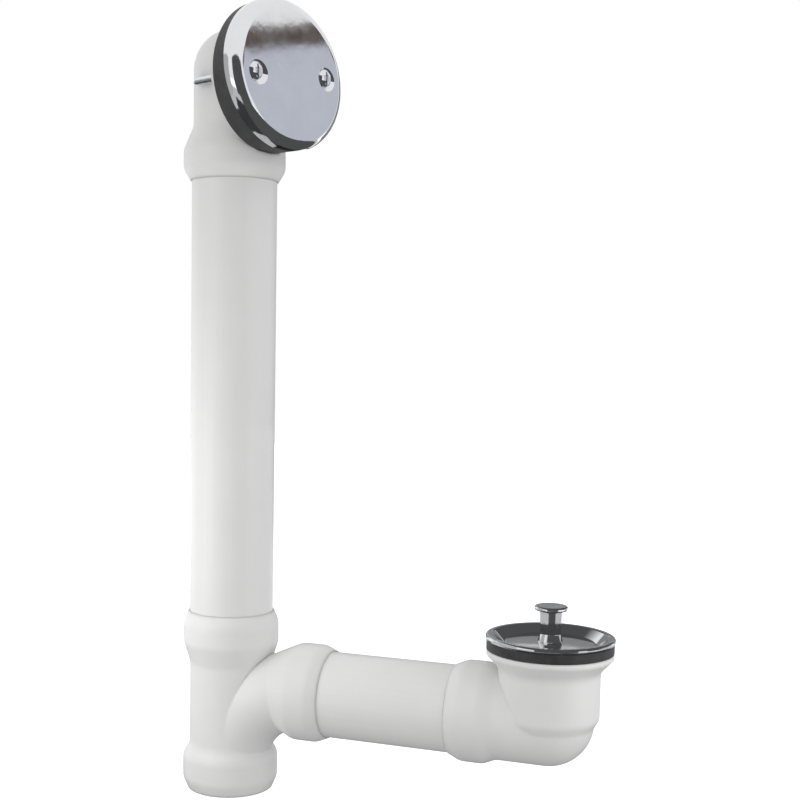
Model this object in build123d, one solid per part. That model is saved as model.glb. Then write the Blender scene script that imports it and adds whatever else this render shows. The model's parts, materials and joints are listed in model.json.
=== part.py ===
from build123d import *
import math
import os

# Bath waste and overflow in solvent-welded plastic pipe, with a lift-and-turn stopper.
# The frame: +Z runs up the overflow tube, +X runs from that tube to the drain, and the
# origin is the centre of the tee's outlet mouth. Lengths are millimetres, angles degrees.

# Pipe and sockets
pipe_diameter = 48.26
pipe_wall = 3.7
socket_depth = 19.0
socket_clearance = 0.15
hub_wall = 3.4
hub_round = 9.0
lip_height = 6.5
lip_edge = 0.6
lip_edge_round = 0.5

# Waste tee
branch_height = 61.0
tee_rise = 44.0
tee_reach = 63.7
tee_bore = 40.8
tee_barrel_wall = 3.5
top_hub_length = 18.5
top_hub_taper = 12.0
outlet_hub_length = 20.5
outlet_hub_taper = 5.5
branch_hub_length = 19.7
branch_hub_taper = 22.0
branch_hub_foot = 17.6
branch_bore = 39.2
branch_wall = 3.2
branch_straight = 17.7
sweep_angle = 80.0

# Overflow elbow and tube
tube_exposed = 245.8
elbow_hub_wall = 4.5
elbow_hub_length = 17.0
elbow_hub_taper = 13.3
elbow_neck_radius = 23.3
elbow_wall = 4.2
face_rise = 54.2
dome_rise = 7.0
face_reach = 27.0
face_flange_radius = 37.0
face_flange_thickness = 4.5
face_spot_clearance = 0.3
face_roll = 4.4
overflow_turn = -22.4

# Overflow gasket, plate and screws
overflow_gasket_radius = 40.3
overflow_gasket_opening = 21.0
overflow_gasket_middle = 10.2
plate_tilt = 6.5
plate_radius = 41.3
plate_depth = 8.5
plate_crown = 1.3
plate_thickness = 1.2
plate_edge_round = 7.0
notch_width = 26.0
notch_height = 4.5
screw_spacing = 52.0
screw_length = 48.8
screw_diameter = 4.2
screw_hole_clearance = 0.4
screw_head_radius = 4.7
screw_head_cone = 2.4
screw_head_dome = 1.6
screw_slot_width = 1.2
screw_slot_depth = 1.0
head_clearance = 0.1
dimple_radius = 6.4
dimple_depth = 1.2
insert_radius = 3.6
insert_length = 12.0
insert_clearance = 0.05
thread_clearance = 0.1
boss_wall = 1.8

# Waste shoe
drain_reach = 188.5
shoe_reach = 52.0
shoe_hub_length = 18.5
shoe_hub_taper = 7.0
shoe_neck_radius = 24.7
shoe_neck_bore = 40.8
shoe_body_radius = 27.3
shoe_bowl_wall = 4.1
shoe_step_taper = 4.0
shoe_step_height = 7.0
shoe_step_drop = 5.0
shoe_step_round = 6.0
shoe_height = 38.0
shoe_flange_radius = 34.0
shoe_flange_thickness = 3.0
shoe_flange_flare = 7.0
shoe_flange_round = 1.0
shoe_mouth_chamfer = 3.8

# Drain flange and shoe gasket
shoe_gasket_radius = 34.0
shoe_gasket_thickness = 5.0
rim_radius = 34.5
rim_thickness = 2.8
rim_width = 3.5
rim_round = 1.1
dish_wall = 1.95
seat_radius = 25.0
seat_drop = 6.7
throat_radius = 20.3
throat_drop = 10.3
spud_radius = 23.4
spud_length = 26.0
spud_clearance = 0.2
dish_clearance = 0.3
cross_bar_width = 4.5
cross_bar_height = 5.5
cross_hub_radius = 8.0

# Stopper
stopper_sink = 3.7
disc_radius = 24.4
disc_thickness = 2.2
disc_crown = 0.4
disc_edge_round = 0.7
sleeve_radius = 7.5
sleeve_wall = 2.2
sleeve_length = 7.0
sleeve_lip = 1.5
sleeve_lip_height = 1.8
seal_clearance = 0.3
seal_thickness = 2.2
seal_inset = 1.0
seat_clearance = 0.6
post_radius = 4.0
post_clearance = 0.15
post_thread_radius = 4.7
post_collar_radius = 7.0
post_collar_height = 2.5
post_top_gap = 1.0
knob_height = 19.4
knob_cap_radius = 8.9
knob_cap_thickness = 2.2
knob_cap_flare = 1.0
knob_cap_round = 1.0
knob_stem_radius = 5.9
knob_waist = 0.35
knob_base_radius = 6.6
knob_base_edge = 0.7
knob_base_height = 4.4
knob_base_round = 2.2
lift_travel = 9.0
turn_travel = 120.0
follower_rise = 5.0
follower_radius = 1.1
follower_depth = 1.3
follower_clearance = 0.35
set_screw_radius = 1.6
set_screw_clearance = 0.05

# Worked out from the driving dimensions
pipe_radius = pipe_diameter / 2
pipe_bore_radius = pipe_radius - pipe_wall
socket_radius = pipe_radius + socket_clearance
hub_radius = socket_radius + hub_wall
elbow_hub_radius = socket_radius + elbow_hub_wall
tee_barrel_radius = tee_bore / 2 + tee_barrel_wall
branch_radius = branch_bore / 2 + branch_wall
sweep_radius = tee_reach - branch_straight
tee_top = branch_height + tee_rise
elbow_mouth = tee_top + tube_exposed
face_height = elbow_mouth + face_rise
dome_height = face_height + dome_rise
elbow_bore_radius = elbow_neck_radius - elbow_wall
screw_offset = screw_spacing / 2
screw_radius = screw_diameter / 2
screw_hole_radius = screw_radius + screw_hole_clearance
plate_back = face_reach + overflow_gasket_middle
shoe_mouth = drain_reach - shoe_reach
shoe_top = branch_height + shoe_height
shoe_bore_radius = spud_radius + spud_clearance
rim_under = shoe_top + shoe_gasket_thickness
rim_top = rim_under + rim_thickness
spud_end = rim_under - spud_length
dish_fall = seat_drop / (rim_radius - rim_width - seat_radius)
throat_fall = (throat_drop - seat_drop) / (seat_radius - throat_radius)
cross_top = spud_end + cross_bar_height
disc_edge_top = rim_top - stopper_sink
disc_under = disc_edge_top - disc_thickness
disc_top = disc_edge_top + disc_crown
sleeve_bore_radius = sleeve_radius - sleeve_wall
sleeve_end = disc_under - sleeve_length
knob_top = disc_top + knob_height
knob_bore_radius = post_radius + post_clearance
knob_ceiling = knob_top - knob_cap_thickness
post_top = knob_ceiling - post_top_gap
follower_height = disc_top + follower_rise

# Extra length of a cut, and a turn that hides a sphere's poles inside the piece
cut_over = 1.0
pole_turn = 70.0


def turned(*corners, rounds=None):
    """Solid turned about Z from (radius, height) corners, some of them rounded."""
    rounds = rounds or {}
    radii = [rounds.get(place, 0) for place in range(len(corners))]
    outline = FilletPolyline(*corners, radius=radii, close=True)
    return revolve(Plane.XZ * make_face(outline), Axis.Z)


def along_x(solid):
    """Lays a solid that was turned about Z along +X."""
    return Rot(0, 90, 0) * solid


def rod(radius, low, high):
    """Round rod on Z between two heights."""
    return Pos(0, 0, (low + high) / 2) * Cylinder(radius, high - low)


def socket_bore():
    """Space of a pipe socket: its mouth is at the origin and it runs down -Z."""
    return rod(socket_radius, -socket_depth, cut_over)


def pipe(length):
    """Plain length of pipe that stands on the origin."""
    return rod(pipe_radius, 0, length) - rod(pipe_bore_radius, -cut_over, length + cut_over)


def hub_end(radius, length, taper, barrel_radius):
    """Outside of a hub: its mouth is at height 0, and below it tapers to the barrel."""
    foot = -length - taper
    return turned(
        (0, 0),
        (socket_radius + lip_edge, 0),
        (radius, -lip_height),
        (radius, -length),
        (barrel_radius, foot),
        (barrel_radius, foot - hub_round),
        (0, foot - hub_round),
        rounds={1: lip_edge_round, 2: hub_round, 3: hub_round, 4: hub_round},
    )


def swept_branch(radius):
    """Round bar that bends from the branch's axis down into the run."""
    centre = Vector(sweep_radius, 0, branch_height - sweep_radius)
    section = Plane((sweep_radius, 0, branch_height), z_dir=(1, 0, 0)) * Circle(radius)
    return revolve(section, Axis(centre, (0, -1, 0)), sweep_angle)


def waste_tee():
    to_branch = Pos(tee_reach, 0, branch_height) * Rot(0, 90, 0)
    outside = rod(tee_barrel_radius, outlet_hub_length, tee_top - top_hub_length)
    outside += Pos(0, 0, tee_top) * hub_end(
        hub_radius, top_hub_length, top_hub_taper, tee_barrel_radius
    )
    outside += Rot(180, 0, 0) * hub_end(
        hub_radius, outlet_hub_length, outlet_hub_taper, tee_barrel_radius
    )
    outside += swept_branch(branch_radius)
    outside += to_branch * hub_end(
        hub_radius, branch_hub_length, branch_hub_taper, branch_hub_foot
    )
    waterway = rod(tee_bore / 2, -cut_over, tee_top + cut_over)
    waterway += swept_branch(branch_bore / 2)
    waterway += to_branch * rod(branch_bore / 2, -branch_straight, cut_over)
    sockets = Pos(0, 0, tee_top) * socket_bore()
    sockets += Rot(180, 0, 0) * socket_bore()
    sockets += to_branch * socket_bore()
    return outside - waterway - sockets


def overflow_tube():
    length = tube_exposed + 2 * socket_depth
    return Pos(0, 0, tee_top - socket_depth) * pipe(length)


def waste_tube():
    length = shoe_mouth - tee_reach + 2 * socket_depth
    return Pos(tee_reach - socket_depth, 0, branch_height) * along_x(pipe(length))


def on_outlet(solid):
    """Rolls a solid about +X and lifts it onto the elbow's outlet axis."""
    return Pos(0, 0, face_height) * Rot(face_roll, 0, 0) * solid


def at_face(solid):
    """Places a solid made about +Z on the elbow's outlet axis, with height as reach."""
    return on_outlet(along_x(solid))


def at_screws(solid):
    """Both copies of a solid made about +Z, on the two screw axes."""
    return [on_outlet(Pos(0, side * screw_offset, 0) * along_x(solid)) for side in (-1, 1)]


def overflow_elbow():
    boss_radius = insert_radius + boss_wall
    flange_back = face_reach - face_flange_thickness
    neck_start = elbow_mouth + elbow_hub_length
    body = Pos(0, 0, elbow_mouth) * Rot(180, 0, 0) * hub_end(
        elbow_hub_radius, elbow_hub_length, elbow_hub_taper, elbow_neck_radius
    )
    body += rod(elbow_neck_radius, neck_start, dome_height)
    body += Pos(0, 0, dome_height) * Sphere(elbow_neck_radius)
    body += at_face(rod(elbow_neck_radius, 0, face_reach))
    body += at_face(rod(face_flange_radius, flange_back, face_reach))
    for boss in at_screws(rod(boss_radius, face_reach - insert_length, face_reach)):
        body += boss
    waterway = rod(elbow_bore_radius, neck_start, dome_height)
    waterway += Pos(0, 0, dome_height) * Sphere(elbow_bore_radius)
    waterway += at_face(rod(elbow_bore_radius, 0, face_reach + cut_over))
    waterway += Pos(0, 0, elbow_mouth) * Rot(180, 0, 0) * socket_bore()
    body -= waterway
    spot_radius = overflow_gasket_radius + face_spot_clearance
    body -= at_face(rod(spot_radius, face_reach, face_reach + elbow_hub_radius))
    hole_radius = insert_radius + insert_clearance
    hole_start = face_reach - insert_length - cut_over
    for hole in at_screws(rod(hole_radius, hole_start, face_reach + cut_over)):
        body -= hole
    return turn_overflow(body)


def turn_overflow(solid):
    """Turns a piece of the overflow about the tube to the side it faces."""
    return Rot(0, 0, overflow_turn) * solid


def at_plate(solid):
    """Places a solid made about +Z on the plate's tilted axis, with height off its back."""
    return on_outlet(Pos(plate_back, 0, 0) * Rot(0, -plate_tilt, 0) * along_x(solid))


def overflow_gasket():
    longest = overflow_gasket_middle + 2 * overflow_gasket_radius * math.tan(
        math.radians(plate_tilt)
    )
    ring = rod(overflow_gasket_radius, face_reach, face_reach + longest)
    ring -= rod(overflow_gasket_opening, 0, 2 * (face_reach + longest))
    wedge = at_face(ring) - at_plate(rod(2 * plate_radius, 0, 2 * longest))
    for hole in at_screws(rod(screw_hole_radius, 0, 2 * (face_reach + longest))):
        wedge -= hole
    return turn_overflow(wedge)


def crown_radius(radius, crown):
    """Sphere radius of a dome that rises by the crown within the radius."""
    return (radius**2 + crown**2) / (2 * crown)


def dome_height_at(radius, edge_radius, edge_height, crown):
    """Height of a dome at some radius, from its edge and its crown."""
    sphere = crown_radius(edge_radius, crown)
    return edge_height + crown - sphere + math.sqrt(sphere**2 - radius**2)


def dome_arc(inner_radius, edge_radius, edge_height, crown):
    """Arc over a dome's section, from its edge in to the inner radius."""
    stations = (edge_radius, (inner_radius + edge_radius) / 2, inner_radius)
    return ThreePointArc(
        *[(r, dome_height_at(r, edge_radius, edge_height, crown)) for r in stations]
    )


def domed_cup(radius, low, depth, edge_round):
    """Solid round cup from a low height up to a domed top with a rounded edge."""
    top = depth + plate_crown
    sphere = crown_radius(radius, plate_crown)
    cup = rod(radius, low, top) & Pos(0, 0, top - sphere) * along_x(Sphere(sphere))
    rim = cup.edges().filter_by(GeomType.CIRCLE).sort_by(Axis.Z)[-1]
    return fillet(rim, edge_round)


def head_reach():
    """Reach of the screw heads' rims: a dimple's depth under the plate's face."""
    off_back = dome_height_at(screw_offset, plate_radius, plate_depth, plate_crown)
    return plate_back + off_back / math.cos(math.radians(plate_tilt)) - dimple_depth


def head_cone(clearance):
    """Oval head's cone under its rim, grown by a clearance, with the rim at height 0."""
    return turned(
        (0, 0),
        (screw_head_radius + clearance, 0),
        (screw_radius + clearance, -screw_head_cone),
        (0, -screw_head_cone),
    )


def dimple_space():
    """Space of a screw's head and hole in the plate, flared out to the dimple's edge."""
    rim = screw_head_radius + head_clearance
    top = dimple_depth + plate_crown
    flare = (dimple_radius - rim) / dimple_depth
    space = turned((0, 0), (rim, 0), (rim + flare * top, top), (0, top))
    space += head_cone(head_clearance)
    space += rod(screw_hole_radius, -plate_depth, 0)
    return Pos(0, 0, head_reach()) * space


def dimple_back():
    """Sheet pressed in behind a dimple: a cone around the screw's head."""
    back = turned(
        (0, dimple_depth + plate_crown),
        (dimple_radius + plate_thickness, dimple_depth + plate_crown),
        (dimple_radius + plate_thickness, dimple_depth),
        (screw_hole_radius + plate_thickness, -screw_head_cone),
        (0, -screw_head_cone),
    )
    return Pos(0, 0, head_reach()) * back


def overflow_plate():
    outside = domed_cup(plate_radius, 0, plate_depth, plate_edge_round)
    hollow = domed_cup(
        plate_radius - plate_thickness,
        -cut_over,
        plate_depth - plate_thickness,
        plate_edge_round - plate_thickness,
    )
    notch = Pos(plate_radius, 0, 0) * Box(plate_radius, notch_width, 2 * notch_height)
    plate = at_plate(outside - hollow - notch)
    for back in at_screws(dimple_back()):
        plate += back & at_plate(outside)
    for space in at_screws(dimple_space()):
        plate -= space
    return turn_overflow(plate)


def plate_screws():
    dome_sphere = crown_radius(screw_head_radius, screw_head_dome)
    dome = Pos(0, 0, screw_head_dome - dome_sphere) * Sphere(dome_sphere)
    dome &= rod(screw_head_radius, 0, screw_head_dome)
    head = dome + head_cone(0)
    slot_top = screw_head_dome + cut_over
    slot_low = screw_head_dome - screw_slot_depth
    head -= Pos(0, 0, (slot_low + slot_top) / 2) * Box(
        2 * screw_head_radius, screw_slot_width, slot_top - slot_low
    )
    point = screw_radius / 2
    shank = turned(
        (0, 0),
        (screw_radius, 0),
        (screw_radius, point - screw_length),
        (screw_radius - point, -screw_length),
        (0, -screw_length),
    )
    screw = Pos(0, 0, head_reach()) * (head + Pos(0, 0, -screw_head_cone / 2) * shank)
    return [turn_overflow(copy) for copy in at_screws(screw)]


def screw_inserts():
    bore_radius = screw_radius + thread_clearance
    insert = rod(insert_radius, face_reach - insert_length, face_reach)
    insert -= rod(bore_radius, 0, face_reach + cut_over)
    return [turn_overflow(copy) for copy in at_screws(insert)]


def at_drain(solid):
    """Places a solid made about Z on the drain's axis."""
    return Pos(drain_reach, 0, 0) * solid


def waste_shoe():
    flange_under = shoe_top - shoe_flange_thickness
    flare_end = flange_under - shoe_flange_flare
    step_foot = branch_height - shoe_step_drop
    body = turned(
        (0, step_foot),
        (shoe_body_radius - shoe_step_taper, step_foot),
        (shoe_body_radius, step_foot + shoe_step_height),
        (shoe_body_radius, flare_end),
        (shoe_flange_radius, flange_under),
        (shoe_flange_radius, shoe_top),
        (0, shoe_top),
        rounds={
            2: shoe_step_round,
            3: shoe_flange_flare,
            4: shoe_flange_round,
            5: shoe_flange_round,
        },
    )
    body += Pos(0, 0, branch_height) * Rot(0, pole_turn, 0) * Sphere(shoe_neck_radius)
    body = at_drain(body)
    to_mouth = Pos(shoe_mouth, 0, branch_height) * Rot(0, -90, 0)
    body += to_mouth * hub_end(hub_radius, shoe_hub_length, shoe_hub_taper, shoe_neck_radius)
    body += to_mouth * rod(shoe_neck_radius, -shoe_reach, -shoe_hub_length)
    bowl_bore_radius = shoe_neck_radius - shoe_bowl_wall
    waterway = rod(bowl_bore_radius, branch_height, spud_end)
    waterway += Pos(0, 0, branch_height) * Sphere(bowl_bore_radius)
    waterway += turned(
        (0, spud_end - spud_clearance),
        (shoe_bore_radius, spud_end - spud_clearance),
        (shoe_bore_radius, shoe_top - shoe_mouth_chamfer),
        (shoe_bore_radius + shoe_mouth_chamfer, shoe_top),
        (shoe_bore_radius + shoe_mouth_chamfer, shoe_top + cut_over),
        (0, shoe_top + cut_over),
    )
    waterway = at_drain(waterway)
    waterway += to_mouth * rod(shoe_neck_bore / 2, -shoe_reach, cut_over - socket_depth)
    waterway += to_mouth * socket_bore()
    return body - waterway


def dish_height_at(radius):
    """Height of the dish's inside at some radius between its throat and its seat."""
    return rim_top - throat_drop + (radius - throat_radius) * throat_fall


def under_dish(clearance):
    """Outside corners of the dish from the rim's underside to the spud, grown by a clearance."""
    seat_low = rim_top - seat_drop - (dish_wall + clearance) * math.hypot(1, dish_fall)
    edge_radius = seat_radius + (rim_under - seat_low) / dish_fall
    outside_radius = spud_radius + clearance
    spud_top = seat_low - (seat_radius - outside_radius) * throat_fall
    return [(edge_radius, rim_under), (seat_radius, seat_low), (outside_radius, spud_top)]


def drain_flange():
    body = turned(
        (rim_radius, rim_under),
        (rim_radius, rim_top),
        (rim_radius - rim_width, rim_top),
        (seat_radius, rim_top - seat_drop),
        (throat_radius, rim_top - throat_drop),
        (throat_radius, spud_end),
        (spud_radius, spud_end),
        *reversed(under_dish(0)),
        rounds={0: rim_round, 1: rim_round, 2: rim_round, 3: rim_round, 4: rim_round},
    )
    cross_middle = (spud_end + cross_top) / 2
    overlap = (throat_radius + spud_radius) / 2
    for angle in (0, 90):
        bar = Box(2 * overlap, cross_bar_width, cross_bar_height)
        body += Pos(0, 0, cross_middle) * Rot(0, 0, angle) * bar
    body += rod(cross_hub_radius, spud_end, cross_top)
    body -= rod(post_thread_radius + thread_clearance, spud_end - cut_over, cross_top + cut_over)
    return at_drain(body)


def shoe_gasket():
    around_dish = under_dish(dish_clearance)
    edge_radius = around_dish[0][0]
    dish = turned(
        (0, rim_under + cut_over),
        (edge_radius, rim_under + cut_over),
        *around_dish,
        (around_dish[-1][0], spud_end),
        (0, spud_end),
    )
    return at_drain(rod(shoe_gasket_radius, shoe_top, rim_under) - dish)


def stopper_disc():
    dome = dome_arc(sleeve_bore_radius, disc_radius, disc_edge_top, disc_crown)
    sides = Polyline(
        dome @ 1,
        (sleeve_bore_radius, sleeve_end),
        (sleeve_radius + sleeve_lip, sleeve_end),
        (sleeve_radius + sleeve_lip, sleeve_end + sleeve_lip_height),
        (sleeve_radius, sleeve_end + sleeve_lip_height),
        (sleeve_radius, disc_under),
        (disc_radius, disc_under),
        (disc_radius, disc_edge_top),
    )
    face = make_face(sides + dome)
    corner = face.vertices().sort_by_distance((disc_radius, disc_edge_top))[0]
    return at_drain(revolve(Plane.XZ * fillet(corner, disc_edge_round), Axis.Z))


def stopper_seal():
    seal_low = disc_under - seal_thickness
    seal_radius = disc_radius - seal_inset
    hole_radius = sleeve_radius + seal_clearance
    edge_height = dish_height_at(seal_radius) + seat_clearance
    low_radius = seal_radius - (edge_height - seal_low) / throat_fall
    ring = turned(
        (hole_radius, seal_low),
        (low_radius, seal_low),
        (seal_radius, edge_height),
        (seal_radius, disc_under),
        (hole_radius, disc_under),
    )
    return at_drain(ring)


def stopper_knob():
    spigot_radius = sleeve_bore_radius - thread_clearance
    waist = knob_stem_radius - knob_waist
    cap_under = knob_top - knob_cap_thickness
    body = turned(
        (0, sleeve_end),
        (spigot_radius, sleeve_end),
        (spigot_radius, disc_top),
        (knob_base_radius, disc_top),
        (knob_base_radius, disc_top + knob_base_edge),
        (waist, disc_top + knob_base_height),
        (knob_stem_radius, cap_under - knob_cap_flare),
        (knob_cap_radius, cap_under),
        (knob_cap_radius, knob_top),
        (0, knob_top),
        rounds={5: knob_base_round, 7: knob_cap_round, 8: knob_cap_round},
    )
    body -= rod(knob_bore_radius, sleeve_end - cut_over, knob_ceiling)
    hole = rod(set_screw_radius + set_screw_clearance, 0, knob_cap_radius)
    body -= Pos(0, 0, follower_height) * Rot(-90, 0, 0) * hole
    return at_drain(body)


def knob_set_screw():
    end = knob_stem_radius - knob_waist
    tip = post_radius - follower_depth
    screw = rod(set_screw_radius, post_radius + post_clearance, end)
    screw += rod(follower_radius, tip, end)
    return at_drain(Pos(0, 0, follower_height) * Rot(-90, 0, 0) * screw)


def stopper_post():
    body = turned(
        (0, spud_end),
        (post_thread_radius, spud_end),
        (post_thread_radius, cross_top),
        (post_collar_radius, cross_top),
        (post_collar_radius, cross_top + post_collar_height),
        (post_radius, cross_top + post_collar_height),
        (post_radius, post_top),
        (0, post_top),
    )
    groove_radius = math.hypot(follower_radius, follower_depth) + follower_clearance
    path = Helix(lift_travel * 360 / turn_travel, lift_travel, post_radius)
    section = Plane(path @ 0, z_dir=path % 0) * Circle(groove_radius)
    groove = sweep(section, path, is_frenet=True)
    for end in (path @ 0, path @ 1):
        groove += Pos(*end) * Sphere(groove_radius)
    body -= Pos(0, 0, follower_height) * Rot(0, 0, 90) * groove
    return at_drain(body)


pieces = {
    "waste_tee": waste_tee(),
    "overflow_tube": overflow_tube(),
    "waste_tube": waste_tube(),
    "overflow_elbow": overflow_elbow(),
    "overflow_gasket": overflow_gasket(),
    "overflow_plate": overflow_plate(),
    "plate_screws": Compound(children=plate_screws()),
    "screw_inserts": Compound(children=screw_inserts()),
    "waste_shoe": waste_shoe(),
    "shoe_gasket": shoe_gasket(),
    "drain_flange": drain_flange(),
    "stopper_post": stopper_post(),
    "stopper_seal": stopper_seal(),
    "stopper_disc": stopper_disc(),
    "stopper_knob": stopper_knob(),
    "knob_set_screw": knob_set_screw(),
}

os.makedirs("parts", exist_ok=True)
for name, piece in pieces.items():
    export_step(piece, f"parts/{name}.step")
    print(name, round(piece.volume))
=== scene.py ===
import json
import math

import bmesh
import bpy
from mathutils import Matrix, Vector


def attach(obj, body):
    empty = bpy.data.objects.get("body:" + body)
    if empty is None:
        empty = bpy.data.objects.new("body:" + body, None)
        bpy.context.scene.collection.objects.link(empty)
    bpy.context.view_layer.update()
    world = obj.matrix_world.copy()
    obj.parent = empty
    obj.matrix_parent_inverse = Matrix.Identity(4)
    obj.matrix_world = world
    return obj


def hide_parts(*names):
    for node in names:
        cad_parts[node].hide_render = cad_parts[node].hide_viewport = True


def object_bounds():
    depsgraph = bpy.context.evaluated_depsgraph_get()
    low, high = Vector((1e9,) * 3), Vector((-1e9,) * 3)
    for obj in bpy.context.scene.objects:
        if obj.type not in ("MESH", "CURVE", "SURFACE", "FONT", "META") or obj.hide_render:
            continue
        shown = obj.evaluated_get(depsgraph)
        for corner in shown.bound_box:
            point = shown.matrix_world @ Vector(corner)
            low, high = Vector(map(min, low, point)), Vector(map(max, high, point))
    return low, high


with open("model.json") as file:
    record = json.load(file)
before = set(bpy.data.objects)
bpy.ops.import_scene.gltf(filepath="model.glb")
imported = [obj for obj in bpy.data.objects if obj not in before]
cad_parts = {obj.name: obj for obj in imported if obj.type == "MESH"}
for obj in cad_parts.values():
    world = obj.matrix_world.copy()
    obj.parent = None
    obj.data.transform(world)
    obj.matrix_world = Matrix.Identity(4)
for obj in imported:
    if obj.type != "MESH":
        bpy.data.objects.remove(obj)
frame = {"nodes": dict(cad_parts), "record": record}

cad_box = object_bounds()
nodes = frame["nodes"]
mounts = {mount["name"]: mount for mount in frame["record"]["mounts"]}

# Camera: metres, degrees, a sensor in millimetres, and pixels of an 800 by 800 picture
CAMERA_PLACE = Vector((0.32848, -0.68038, 0.25877))
CAMERA_YAW = 20.48
CAMERA_PITCH = 5.05
CAMERA_ROLL = 0.9
SENSOR_WIDTH = 36
PICTURE_PIXELS = 800
FOCAL_PIXELS = 1304.69
MIDDLE_PIXEL = (352.99, 461.9)

# Studio: lengths in metres, lamps placed from the part's middle, powers in watts
FLOOR_HEIGHT = -0.45
FLOOR_SIZE = 16.0
FLOOR_CELLS = 8
FLOOR_ALBEDO = 0.66
FLOOR_GLOW = 0.62
FLOOR_NEAR = 1.0
FLOOR_FAR = 1.9
AMBIENT = 0.785
KEY_PLACE = Vector((-0.265, -0.165, -0.08))
KEY_SIZE = 0.16
KEY_POWER = 0.27
FILL_PLACE = Vector((0.37, -0.08, -0.03))
FILL_SIZE = 0.25
FILL_POWER = 0.32

# Cards that polished metal mirrors: place and aim from the part's middle, width, height, colour
PLATE_AIM = (0.0, 0.0, 0.1)
FLOOR_AIM = (0.0, 0.0, 1.0)
DRAIN_AIM = (0.47, -0.065, -1.0)
CARDS = {
    "front_flag": ((0.69, -1.5, 0.15), PLATE_AIM, 2.6, 1.8, (0.085, 0.088, 0.09)),
    "floor_flag": ((0.0, 0.0, -0.66), FLOOR_AIM, 2.4, 2.4, (0.045, 0.048, 0.05)),
    "floor_board": ((0.0, 0.0, -0.665), FLOOR_AIM, 5.2, 5.2, (0.62, 0.62, 0.62)),
    "drain_flag": ((0.47, -0.065, -0.013), DRAIN_AIM, 1.065, 0.95, (0.09, 0.09, 0.09)),
    "back_flag": ((-0.3, 2.0, 0.25), PLATE_AIM, 3.0, 1.3, (0.26, 0.26, 0.265)),
    "left_board": ((-1.6, -0.6, 0.15), PLATE_AIM, 1.4, 1.3, (0.50, 0.50, 0.50)),
    "blue_board": ((1.84, 0.78, 0.29), PLATE_AIM, 2.4, 1.53, (0.60, 0.63, 0.70)),
    "brown_board": ((1.84, 0.78, 1.12), PLATE_AIM, 2.4, 0.13, (0.11, 0.085, 0.072)),
}
SOFT_CARDS = ("drain_flag",)
CARD_HALF = 0.5
CARD_FADE = 0.06

# Finishes: the two shades that each drifts between, and the pipe's streaks, the rubber's dust and
# the fitting's dust with painted shade
WHITE = (1, 1, 1, 1)
FITTING_SHADES = ((0.76, 0.76, 0.755, 1), (0.82, 0.82, 0.815, 1))
# Grey that the fitting's sheltered corners darken towards: painted shade with some dust
FITTING_DUST_AND_SHADE = (0.50, 0.49, 0.47, 1)
PIPE_SHADES = ((0.77, 0.77, 0.765, 1), (0.83, 0.83, 0.825, 1))
PIPE_STREAKS = (0.74, 0.74, 0.735, 1)
RUBBER_SHADES = ((0.015, 0.015, 0.016, 1), (0.065, 0.065, 0.066, 1))
RUBBER_DUST = (0.10, 0.10, 0.10, 1)
CHROME_SHADES = ((0.68, 0.69, 0.71, 1), (0.78, 0.79, 0.81, 1))
BRASS_SHADES = ((0.62, 0.45, 0.20, 1), (0.45, 0.31, 0.13, 1))
STEEL_SHADES = ((0.50, 0.51, 0.52, 1), (0.62, 0.63, 0.65, 1))
PLASTIC_SPECULAR = 0.45

# Least and most roughness, on one side of 0.27, above which a surface loses sight of the cards
FITTING_GLOSS = (0.32, 0.46)
PIPE_GLOSS = (0.30, 0.40)
RUBBER_GLOSS = (0.42, 0.60)
CHROME_GLOSS = (0.03, 0.125)
BRASS_GLOSS = (0.14, 0.25)
STEEL_GLOSS = (0.14, 0.24)

# Effects: the spans of noise and of shelter that they use, and what they make of them
WHOLE_SPAN = (0.0, 1.0)
FALLING_SPAN = (1.0, 0.0)
PATCH_NOISE = (0.1, 0.9)
LINE_NOISE = (0.4, 0.7)
STREAK_SPAN = (0.0, 0.2)
SHELTER_SPAN = (0.25, 0.75)
SHELTER_SAMPLES = 8
# Noise and spans of the corner mask, which paints shade with some dust on the fitting and dust on
# the rubber
DUST_AND_SHADE_NOISE = (0.3, 0.7)
DUST_AND_SHADE_SPAN = (0.4, 1.0)
DUST_AND_SHADE_SCALE = 220.0
RING_SHARE = 0.05
SOFT_EDGE_SAMPLES = 4

# Plate screws: lengths in metres, an angle in degrees, and counts of steps
THREAD_PITCH = 0.0008
THREAD_DEPTH = 0.00032
RINGS_PER_TURN = 8
SCREW_SIDES = 28
PLAIN_SHANK = 0.012
POINT_SHARE = 0.5
HEAD_CONE = 0.0024
HEAD_CROWN = 0.0016
HEAD_SINK = 0.00002
HEAD_STEPS = 12
SLOT_WIDTH = 0.0012
SLOT_DEPTH = 0.0010
MERGE_GAP = 0.000002
SHARP_ANGLE = 40

drain_axis = Vector(mounts["tub_drain_seat"]["pos_m"])
drain_axis.z = 0
overflow_way = Vector(mounts["tub_overflow_seat"]["pos_m"])
overflow_way.z = 0
overflow_way.normalize()
overflow_side = Vector((-overflow_way.y, overflow_way.x, 0))


# Helpers for shader nodes

def feed(tree, socket, value):
    """Sets an input to a value, or links it to another node's output."""
    if isinstance(value, bpy.types.NodeSocket):
        tree.links.new(value, socket)
    else:
        socket.default_value = value


def shader_node(tree, kind, **sockets):
    """New shader node with its named inputs fed."""
    made = tree.nodes.new(kind)
    for name, value in sockets.items():
        feed(tree, made.inputs[name.replace("_", " ")], value)
    return made


def math_node(tree, operation, first, second=0.0):
    """Output of a math node on two values or outputs."""
    made = tree.nodes.new("ShaderNodeMath")
    made.operation = operation
    for socket, value in zip(made.inputs, (first, second)):
        feed(tree, socket, value)
    return made.outputs[0]


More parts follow.
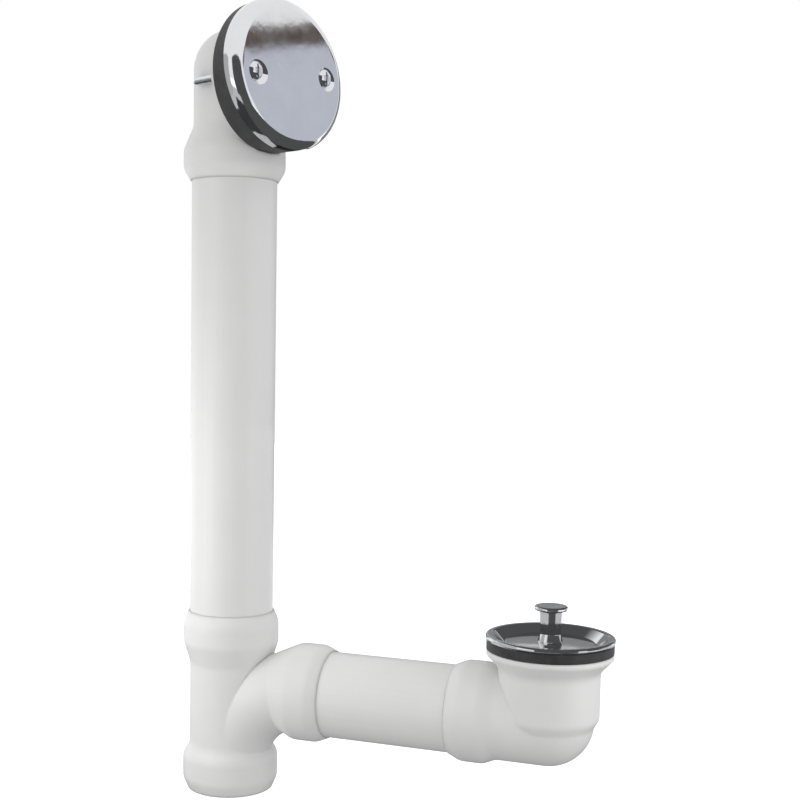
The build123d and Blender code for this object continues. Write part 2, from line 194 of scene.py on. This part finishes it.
def vector_node(tree, operation, *vectors):
    """Outputs of a vector math node on one or two vectors."""
    made = tree.nodes.new("ShaderNodeVectorMath")
    made.operation = operation
    for socket, value in zip(made.inputs, vectors):
        feed(tree, socket, value)
    return made.outputs


def remap(tree, value, span, result):
    """Value moved from one span to another and held inside it."""
    made = shader_node(tree, "ShaderNodeMapRange", Value=value,
                       From_Min=span[0], From_Max=span[1], To_Min=result[0], To_Max=result[1])
    return made.outputs["Result"]


def mix_colour(tree, share, first, second):
    """Colour between two colours or outputs."""
    made = tree.nodes.new("ShaderNodeMix")
    made.data_type = "RGBA"
    shown = {socket.identifier: socket for socket in made.inputs}
    feed(tree, shown["Factor_Float"], share)
    feed(tree, shown["A_Color"], first)
    feed(tree, shown["B_Color"], second)
    return next(socket for socket in made.outputs if socket.identifier == "Result_Color")


def place_in_frame(tree):
    """Position on the piece, in metres in the part's own frame."""
    return tree.nodes.new("ShaderNodeTexCoord").outputs["Object"]


def noise_value(tree, place, scale, detail, roughness=0.5):
    """Value of a noise at a place."""
    made = shader_node(tree, "ShaderNodeTexNoise", Vector=place,
                       Scale=scale, Detail=detail, Roughness=roughness)
    return made.outputs["Fac"]


def empty_material(name):
    """New material without nodes, and its tree."""
    material = bpy.data.materials.new(name)
    material.use_nodes = True
    material.node_tree.nodes.clear()
    return material, material.node_tree


def set_surface(tree, shader, kind="ShaderNodeOutputMaterial"):
    """Shows a shader as the surface of a material or of the world."""
    tree.links.new(shader.outputs[0], tree.nodes.new(kind).inputs["Surface"])


def new_group(name, inputs, output):
    """Shader node group with value or vector inputs and one output; gives it and its ends."""
    kinds = {"value": "NodeSocketFloat", "vector": "NodeSocketVector"}
    group = bpy.data.node_groups.new(name, "ShaderNodeTree")
    for socket, (kind, default) in inputs.items():
        made = group.interface.new_socket(socket, in_out="INPUT", socket_type=kinds[kind])
        made.default_value = default
    group.interface.new_socket(output, in_out="OUTPUT", socket_type=kinds["value"])
    source = group.nodes.new("NodeGroupInput")
    target = group.nodes.new("NodeGroupOutput")
    return group, source.outputs, target.inputs[output]


def use_group(tree, group, **sockets):
    """Output of a node group, placed in a material with its own values."""
    made = tree.nodes.new("ShaderNodeGroup")
    made.node_tree = group
    for name, value in sockets.items():
        feed(tree, made.inputs[name], value)
    return made.outputs[0]


# Effects that several finishes share

def make_cloudy_group():
    """Soft uneven patches: a value between Low and High that drifts over the surface."""
    group, given, wanted = new_group(
        "cloudy_patches",
        {"Scale": ("value", 60.0), "Low": ("value", 0.0), "High": ("value", 1.0)},
        "Value",
    )
    noise = noise_value(group, place_in_frame(group), given["Scale"], detail=5.0, roughness=0.6)
    drift = remap(group, noise, PATCH_NOISE, (given["Low"], given["High"]))
    group.links.new(drift, wanted)
    return group


def make_grain_group():
    """Fine grain of a moulded skin, or at a small scale the slow waves of plating, as a height."""
    group, given, wanted = new_group(
        "fine_grain",
        {"Scale": ("value", 1500.0), "Height": ("value", 1.0)},
        "Height",
    )
    noise = noise_value(group, place_in_frame(group), given["Scale"], detail=2.0)
    group.links.new(math_node(group, "MULTIPLY", noise, given["Height"]), wanted)
    return group


def make_drawn_lines_group():
    """Faint lines along a drawn or extruded length: noise stretched along one axis."""
    group, given, wanted = new_group(
        "drawn_lines",
        {"Stretch": ("vector", (1.0, 1.0, 0.01)), "Scale": ("value", 900.0)},
        "Value",
    )
    stretched = vector_node(group, "MULTIPLY", place_in_frame(group), given["Stretch"])["Vector"]
    noise = noise_value(group, stretched, given["Scale"], detail=3.0, roughness=0.55)
    group.links.new(noise, wanted)
    return group


def make_turned_rings_group():
    """Faint rings of a turned or spun piece about an upright axis through Centre."""
    group, given, wanted = new_group(
        "turned_rings",
        {"Centre": ("vector", (0.0, 0.0, 0.0)), "Scale": ("value", 1200.0)},
        "Value",
    )
    offset = vector_node(group, "SUBTRACT", place_in_frame(group), given["Centre"])["Vector"]
    parts = shader_node(group, "ShaderNodeSeparateXYZ", Vector=offset).outputs
    across = math_node(group, "MULTIPLY", parts["X"], parts["X"])
    along = math_node(group, "MULTIPLY", parts["Y"], parts["Y"])
    radius = math_node(group, "SQRT", math_node(group, "ADD", across, along))
    unrolled = shader_node(group, "ShaderNodeCombineXYZ", X=radius, Z=parts["Z"]).outputs[0]
    noise = noise_value(group, unrolled, given["Scale"], detail=2.0)
    group.links.new(noise, wanted)
    return group


def make_parting_line_group():
    """Thin line where two mould halves meet: a mask near a plane through the frame's origin."""
    group, given, wanted = new_group(
        "parting_line",
        {"Across": ("vector", (0.0, 1.0, 0.0)), "Width": ("value", 0.0003)},
        "Mask",
    )
    distance = vector_node(group, "DOT_PRODUCT", place_in_frame(group), given["Across"])["Value"]
    away = math_node(group, "ABSOLUTE", distance)
    group.links.new(remap(group, away, (0.0, given["Width"]), FALLING_SPAN), wanted)
    return group


def make_corner_dust_and_shade_group():
    """Dust and painted shade in inside corners and gaps: a mask from how sheltered a place is."""
    group, given, wanted = new_group(
        "corner_dust_and_shade",
        {"Reach": ("value", 0.006), "Amount": ("value", 0.3)},
        "Mask",
    )
    shelter = shader_node(group, "ShaderNodeAmbientOcclusion", Distance=given["Reach"])
    shelter.samples = SHELTER_SAMPLES
    # Sheltered places, from ambient occlusion: where the painted shade and the dust go
    sheltered = remap(group, shelter.outputs["AO"], SHELTER_SPAN, FALLING_SPAN)
    noise = noise_value(group, place_in_frame(group), DUST_AND_SHADE_SCALE, detail=4.0)
    uneven = remap(group, noise, DUST_AND_SHADE_NOISE, DUST_AND_SHADE_SPAN)
    uneven_shelter = math_node(group, "MULTIPLY", sheltered, uneven)
    group.links.new(math_node(group, "MULTIPLY", uneven_shelter, given["Amount"]), wanted)
    return group


cloudy_patches = make_cloudy_group()
fine_grain = make_grain_group()
drawn_lines = make_drawn_lines_group()
turned_rings = make_turned_rings_group()
parting_line = make_parting_line_group()
corner_dust_and_shade = make_corner_dust_and_shade_group()


# Finishes

def new_finish(name):
    """New material with a Principled shader; gives it, its tree and the shader."""
    material, tree = empty_material(name)
    shader = tree.nodes.new("ShaderNodeBsdfPrincipled")
    set_surface(tree, shader)
    return material, tree, shader


def cloudy_colour(tree, scale, shades):
    """Colour that drifts between two shades over the surface."""
    return mix_colour(tree, use_group(tree, cloudy_patches, Scale=scale), *shades)


def set_skin(tree, shader, colour, gloss_scale, gloss):
    """Gives the shader a colour, and a roughness that drifts between two values."""
    low, high = gloss
    roughness = use_group(tree, cloudy_patches, Scale=gloss_scale, Low=low, High=high)
    tree.links.new(colour, shader.inputs["Base Color"])
    tree.links.new(roughness, shader.inputs["Roughness"])


def set_bump(tree, shader, height, distance, soft_edge=None):
    """Bump from a height output, over edges that a soft radius rounds off."""
    bump = shader_node(tree, "ShaderNodeBump", Height=height, Strength=1.0, Distance=distance)
    if soft_edge:
        rounded = shader_node(tree, "ShaderNodeBevel", Radius=soft_edge)
        rounded.samples = SOFT_EDGE_SAMPLES
        tree.links.new(rounded.outputs[0], bump.inputs["Normal"])
    tree.links.new(bump.outputs[0], shader.inputs["Normal"])


def fitting_plastic(name, seam_across):
    """White moulded plastic of a fitting: cloudy tone, fine skin, a parting line, and corners
    darkened by painted shade with some dust.
    """
    material, tree, shader = new_finish(name)
    colour = cloudy_colour(tree, 38.0, FITTING_SHADES)
    # Painted shade with some dust: the sheltered corners darken towards a grey
    dust = use_group(tree, corner_dust_and_shade, Reach=0.006, Amount=0.22)
    corner_toned = mix_colour(tree, dust, colour, FITTING_DUST_AND_SHADE)
    grain = use_group(tree, fine_grain, Scale=2200.0, Height=0.35)
    seam = use_group(tree, parting_line, Across=seam_across, Width=0.00035)
    height = math_node(tree, "ADD", grain, seam)
    set_skin(tree, shader, corner_toned, gloss_scale=95.0, gloss=FITTING_GLOSS)
    shader.inputs["Specular IOR Level"].default_value = PLASTIC_SPECULAR
    set_bump(tree, shader, height, distance=0.00009, soft_edge=0.0025)
    return material


def pipe_plastic(name, stretch):
    """White extruded pipe: faint lines along its length and a slightly glossier skin."""
    material, tree, shader = new_finish(name)
    lines = use_group(tree, drawn_lines, Stretch=stretch, Scale=700.0)
    colour = cloudy_colour(tree, 26.0, PIPE_SHADES)
    streaks = remap(tree, lines, LINE_NOISE, STREAK_SPAN)
    streaked = mix_colour(tree, streaks, colour, PIPE_STREAKS)
    set_skin(tree, shader, streaked, gloss_scale=70.0, gloss=PIPE_GLOSS)
    shader.inputs["Specular IOR Level"].default_value = PLASTIC_SPECULAR
    set_bump(tree, shader, lines, distance=0.00002)
    return material


def gasket_rubber():
    """Black moulded rubber: dull, a little chalky, with dust in its corners."""
    material, tree, shader = new_finish("gasket_rubber")
    colour = cloudy_colour(tree, 120.0, RUBBER_SHADES)
    # On the rubber the corner mask lightens towards grey dust; no shade is painted here
    dust = use_group(tree, corner_dust_and_shade, Reach=0.004, Amount=0.35)
    corner_toned = mix_colour(tree, dust, colour, RUBBER_DUST)
    grain = use_group(tree, fine_grain, Scale=2600.0)
    set_skin(tree, shader, corner_toned, gloss_scale=160.0, gloss=RUBBER_GLOSS)
    set_bump(tree, shader, grain, distance=0.00012, soft_edge=0.0004)
    return material


def polished_chrome(name, rings_centre=None):
    """Bright plated metal: faint smears, slight waves and, on turned pieces, fine rings."""
    material, tree, shader = new_finish(name)
    colour = cloudy_colour(tree, 55.0, CHROME_SHADES)
    height = use_group(tree, fine_grain, Scale=130.0)
    if rings_centre:
        rings = use_group(tree, turned_rings, Centre=rings_centre, Scale=2500.0)
        height = math_node(tree, "ADD", height, math_node(tree, "MULTIPLY", rings, RING_SHARE))
    shader.inputs["Metallic"].default_value = 1.0
    set_skin(tree, shader, colour, gloss_scale=85.0, gloss=CHROME_GLOSS)
    set_bump(tree, shader, height, distance=0.00002)
    return material


def turned_brass():
    """Plain turned brass with rings from the lathe and a slight tarnish."""
    material, tree, shader = new_finish("turned_brass")
    colour = cloudy_colour(tree, 200.0, BRASS_SHADES)
    rings = use_group(tree, turned_rings, Centre=tuple(drain_axis), Scale=1800.0)
    shader.inputs["Metallic"].default_value = 1.0
    set_skin(tree, shader, colour, gloss_scale=260.0, gloss=BRASS_GLOSS)
    set_bump(tree, shader, rings, distance=0.00008)
    return material


def screw_steel():
    """Plain bright steel of the knob's set screw."""
    material, tree, shader = new_finish("screw_steel")
    colour = cloudy_colour(tree, 300.0, STEEL_SHADES)
    grain = use_group(tree, fine_grain, Scale=3000.0)
    shader.inputs["Metallic"].default_value = 1.0
    set_skin(tree, shader, colour, gloss_scale=420.0, gloss=STEEL_GLOSS)
    set_bump(tree, shader, grain, distance=0.00003)
    return material


def dress(node, material):
    """Gives a CAD piece its finish."""
    slots = nodes[node].data.materials
    slots.clear()
    slots.append(material)


# Threaded screws of the overflow plate

def new_piece(name, mesh):
    """Object in the scene from a finished bmesh."""
    data = bpy.data.meshes.new(name)
    mesh.to_mesh(data)
    mesh.free()
    piece = bpy.data.objects.new(name, data)
    bpy.context.scene.collection.objects.link(piece)
    return piece


def screw_lines():
    """Axis, tail, top, and radius of shank and head of both screws, read from the CAD screws."""
    points = [vertex.co for vertex in nodes["plate_screws"].data.vertices]
    middle = sum(p.dot(overflow_side) for p in points) / len(points)
    screws = []
    for side in (-1, 1):
        own = [p for p in points if side * (p.dot(overflow_side) - middle) > 0]
        reach = [p.dot(overflow_way) for p in own]
        across = [p.dot(overflow_side) for p in own]
        tail, top = min(reach), max(reach)
        centre_across = (min(across) + max(across)) / 2
        centre_height = (min(p.z for p in own) + max(p.z for p in own)) / 2
        tail_points = [p for p in own if p.dot(overflow_way) < (tail + top) / 2]
        screws.append({
            "centre": overflow_side * centre_across + Vector((0, 0, centre_height)),
            "tail": tail,
            "top": top,
            "radius": max(abs(p.dot(overflow_side) - centre_across) for p in tail_points),
            "head": (max(across) - min(across)) / 2,
        })
    return screws


def add_sheet(mesh, rows, wrapped=False):
    """Faces over a grid of points; a wrapped grid joins the end of each row to its start."""
    grid = [[mesh.verts.new(point) for point in row] for row in rows]
    for low, high in zip(grid, grid[1:]):
        count = len(low) if wrapped else len(low) - 1
        for place in range(count):
            after = (place + 1) % len(low)
            mesh.faces.new((low[place], low[after], high[after], high[place]))


def thread_radius(screw, reach, side):
    """Radius of the threaded length at a reach along the screw and a side around it."""
    turn = (reach / THREAD_PITCH - side / SCREW_SIDES) % 1
    groove = THREAD_DEPTH * abs(2 * turn - 1)
    from_tail = (reach - screw["tail"]) / screw["radius"]
    point = screw["radius"] * POINT_SHARE * max(0, 1 - from_tail)
    return screw["radius"] - groove - point


def screw_ring(screw, reach, radii):
    """Points around a screw's axis at a reach along it, one for each side's radius."""
    ring = []
    for side, radius in enumerate(radii):
        angle = 2 * math.pi * side / SCREW_SIDES
        around = overflow_side * math.cos(angle) + Vector((0, 0, math.sin(angle)))
        ring.append(screw["centre"] + overflow_way * reach + around * radius)
    return ring


def add_screw_shank(mesh, screw):
    """Threaded shank with a short plain length and the cone under the head."""
    rim = screw["top"] - HEAD_CROWN
    cone_start = rim - HEAD_CONE
    plain_start = cone_start - PLAIN_SHANK
    steps = round((plain_start - screw["tail"]) / THREAD_PITCH * RINGS_PER_TURN)
    rows = []
    for step in range(steps):
        reach = screw["tail"] + step * THREAD_PITCH / RINGS_PER_TURN
        radii = [thread_radius(screw, reach, side) for side in range(SCREW_SIDES)]
        rows.append(screw_ring(screw, reach, radii))
    plain = ((plain_start, "radius"), (cone_start, "radius"), (rim, "head"))
    for reach, part in plain:
        rows.append(screw_ring(screw, reach, [screw[part]] * SCREW_SIDES))
    add_sheet(mesh, rows, wrapped=True)
    mesh.faces.new([mesh.verts.new(point) for point in reversed(rows[0])])


def add_screw_head(mesh, screw):
    """Oval slotted head: two domed lands, and the slot's floor and walls between them."""
    radius = screw["head"]
    sphere = (radius**2 + HEAD_CROWN**2) / (2 * HEAD_CROWN)
    rim = screw["top"] - HEAD_CROWN - HEAD_SINK

    def land(across, upward, highest):
        height = math.sqrt(sphere**2 - across**2 - upward**2) - (sphere - HEAD_CROWN)
        foot = screw["centre"] + overflow_side * across + Vector((0, 0, upward))
        return foot + overflow_way * (rim + min(height, highest))

    def strip(across, highest=HEAD_CROWN):
        half = math.sqrt(max(0.0, radius**2 - across**2))
        upward = [half * (2 * step / HEAD_STEPS - 1) for step in range(HEAD_STEPS + 1)]
        return [land(across, up, highest) for up in upward]

    edge = SLOT_WIDTH / 2
    floor = HEAD_CROWN - SLOT_DEPTH
    for side in (-1, 1):
        stations = [edge + (radius - edge) * step / HEAD_STEPS for step in range(HEAD_STEPS + 1)]
        ordered = [side * across for across in stations][::side]
        add_sheet(mesh, [strip(across) for across in ordered])
        wall = [strip(side * edge), strip(side * edge, floor)]
        add_sheet(mesh, wall[::-side])
    add_sheet(mesh, [strip(-edge, floor), strip(edge, floor)])


def close_shells(mesh):
    """Joins the sheets' edges, closes what is open and turns every face outward."""
    bmesh.ops.remove_doubles(mesh, verts=mesh.verts, dist=MERGE_GAP)
    bmesh.ops.dissolve_degenerate(mesh, edges=mesh.edges, dist=MERGE_GAP)
    bmesh.ops.holes_fill(mesh, edges=mesh.edges, sides=0)
    bmesh.ops.recalc_face_normals(mesh, faces=mesh.faces)


def make_plate_screws(material):
    """Both long screws of the plate, with threads and slotted heads."""
    mesh = bmesh.new()
    for screw in screw_lines():
        add_screw_shank(mesh, screw)
        add_screw_head(mesh, screw)
    close_shells(mesh)
    screws = new_piece("threaded_plate_screws", mesh)
    screws.data.shade_smooth()
    screws.data.set_sharp_from_angle(angle=math.radians(SHARP_ANGLE))
    screws.data.materials.append(material)
    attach(screws, "waste")
    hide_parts("plate_screws")


def dress_all():
    """Finish of every piece."""
    tee_seam = (0.0, 1.0, 0.0)
    elbow_seam = tuple(overflow_side)
    upright_lines = (1.0, 1.0, 0.01)
    level_lines = (0.01, 1.0, 1.0)
    fitting = fitting_plastic("fitting_plastic", tee_seam)
    dress("waste_tee", fitting)
    dress("waste_shoe", fitting)
    dress("overflow_elbow", fitting_plastic("elbow_plastic", elbow_seam))
    dress("overflow_tube", pipe_plastic("overflow_pipe_plastic", upright_lines))
    dress("waste_tube", pipe_plastic("waste_pipe_plastic", level_lines))
    rubber = gasket_rubber()
    for node in ("overflow_gasket", "shoe_gasket", "stopper_seal"):
        dress(node, rubber)
    plate = polished_chrome("plate_chrome")
    dress("overflow_plate", plate)
    make_plate_screws(plate)
    drain = polished_chrome("drain_chrome", tuple(drain_axis))
    for node in ("drain_flange", "stopper_disc", "stopper_knob"):
        dress(node, drain)
    brass = turned_brass()
    dress("screw_inserts", brass)
    dress("stopper_post", brass)
    dress("knob_set_screw", screw_steel())


# Studio

def add_camera():
    """Camera at the photograph's place, angle and framing."""
    yaw, pitch, roll = (math.radians(a) for a in (CAMERA_YAW, CAMERA_PITCH, CAMERA_ROLL))
    level = Vector((math.cos(yaw), math.sin(yaw), 0))
    ahead = Vector((
        -math.sin(yaw) * math.cos(pitch),
        math.cos(yaw) * math.cos(pitch),
        -math.sin(pitch),
    ))
    upright = level.cross(ahead)
    right = math.cos(roll) * level + math.sin(roll) * upright
    up = math.cos(roll) * upright - math.sin(roll) * level
    turn = Matrix((right, up, -ahead)).transposed().to_4x4()
    lens = bpy.data.cameras.new("camera")
    lens.sensor_width = SENSOR_WIDTH
    lens.lens = FOCAL_PIXELS / PICTURE_PIXELS * SENSOR_WIDTH
    lens.shift_x = 0.5 - MIDDLE_PIXEL[0] / PICTURE_PIXELS
    lens.shift_y = MIDDLE_PIXEL[1] / PICTURE_PIXELS - 0.5
    camera = bpy.data.objects.new("camera", lens)
    camera.matrix_world = Matrix.Translation(CAMERA_PLACE) @ turn
    bpy.context.scene.collection.objects.link(camera)
    bpy.context.scene.camera = camera


def shown_share(tree):
    """1 for rays that show the surround, straight on, in gloss or through glass, and else 0."""
    path = tree.nodes.new("ShaderNodeLightPath").outputs
    mirrored = math_node(tree, "MAXIMUM", path["Is Glossy Ray"], path["Is Transmission Ray"])
    return math_node(tree, "MAXIMUM", path["Is Camera Ray"], mirrored)


def add_surround():
    """White surround for the eye, and a softer even light on the object."""
    world = bpy.data.worlds.new("surround")
    world.use_nodes = True
    tree = world.node_tree
    tree.nodes.clear()
    strength = remap(tree, shown_share(tree), WHOLE_SPAN, (AMBIENT, 1.0))
    background = shader_node(tree, "ShaderNodeBackground", Color=WHITE, Strength=strength)
    set_surface(tree, background, "ShaderNodeOutputWorld")
    bpy.context.scene.world = world


def add_floor():
    """Pale floor below the held part; it takes its shadow and runs to white further out."""
    mesh = bmesh.new()
    bmesh.ops.create_grid(
        mesh, x_segments=FLOOR_CELLS, y_segments=FLOOR_CELLS, size=FLOOR_SIZE / 2
    )
    floor = new_piece("floor", mesh)
    floor.location.z = FLOOR_HEIGHT
    material, tree = empty_material("pale_floor")
    grey = (FLOOR_ALBEDO, FLOOR_ALBEDO, FLOOR_ALBEDO, 1)
    matt = shader_node(tree, "ShaderNodeBsdfDiffuse", Color=grey)
    away = vector_node(tree, "LENGTH", place_in_frame(tree))["Value"]
    reach = remap(tree, away, (FLOOR_NEAR, FLOOR_FAR), (FLOOR_GLOW, 1.0))
    glow = math_node(tree, "MULTIPLY", shown_share(tree), reach)
    light = shader_node(tree, "ShaderNodeEmission", Color=WHITE, Strength=glow)
    both = tree.nodes.new("ShaderNodeAddShader")
    tree.links.new(matt.outputs[0], both.inputs[0])
    tree.links.new(light.outputs[0], both.inputs[1])
    set_surface(tree, both)
    floor.data.materials.append(material)


def facing(place, target):
    """Turn that points an object's -Z from a place to a target."""
    return (target - place).to_track_quat("-Z", "Y").to_matrix().to_4x4()


def add_soft_light(name, place, target, size, power):
    """Square soft box aimed at the object; polished metal doesn't mirror it."""
    light = bpy.data.lights.new(name, "AREA")
    light.size = size
    light.energy = power
    box = bpy.data.objects.new(name, light)
    box.matrix_world = Matrix.Translation(place) @ facing(place, target)
    box.visible_camera = False
    box.visible_glossy = False
    bpy.context.scene.collection.objects.link(box)


def card_colour(tree, colour, fade):
    """Colour of a card, which on its aimed side fades to white along the edge."""
    on_card = shader_node(tree, "ShaderNodeSeparateXYZ", Vector=place_in_frame(tree)).outputs
    sideways = math_node(tree, "ABSOLUTE", on_card["X"])
    upward = math_node(tree, "ABSOLUTE", on_card["Y"])
    from_middle = math_node(tree, "MAXIMUM", sideways, upward)
    faded = remap(tree, from_middle, (CARD_HALF - fade, CARD_HALF), WHOLE_SPAN)
    aimed_side = tree.nodes.new("ShaderNodeNewGeometry").outputs["Backfacing"]
    share = math_node(tree, "MULTIPLY", faded, aimed_side)
    return mix_colour(tree, share, (*colour, 1), WHITE)


def add_card(name, place, target, width, height, colour, fade):
    """Coloured card that shows only in gloss, as a studio's flags do."""
    mesh = bmesh.new()
    bmesh.ops.create_grid(mesh, x_segments=1, y_segments=1, size=CARD_HALF)
    card = new_piece(name, mesh)
    scaled = Matrix.Diagonal((width, height, 1, 1))
    card.matrix_world = Matrix.Translation(place) @ facing(place, target) @ scaled
    card.visible_camera = False
    card.visible_diffuse = False
    card.visible_shadow = False
    card.visible_transmission = False
    material, tree = empty_material(name)
    shown = card_colour(tree, colour, fade)
    set_surface(tree, shader_node(tree, "ShaderNodeEmission", Color=shown, Strength=1.0))
    card.data.materials.append(material)


def add_studio():
    """Floor, surround, soft boxes and cards."""
    add_surround()
    add_floor()
    middle = (Vector(cad_box[0]) + Vector(cad_box[1])) / 2
    add_soft_light("key_light", middle + KEY_PLACE, middle, KEY_SIZE, KEY_POWER)
    add_soft_light("fill_light", middle + FILL_PLACE, middle, FILL_SIZE, FILL_POWER)
    for name, (place, aim, width, height, colour) in CARDS.items():
        fade = CARD_FADE if name in SOFT_CARDS else 0.0
        add_card(name, middle + Vector(place), middle + Vector(aim), width, height, colour, fade)


dress_all()
add_camera()
add_studio()

scene = bpy.context.scene
scene.view_settings.view_transform = "Standard"
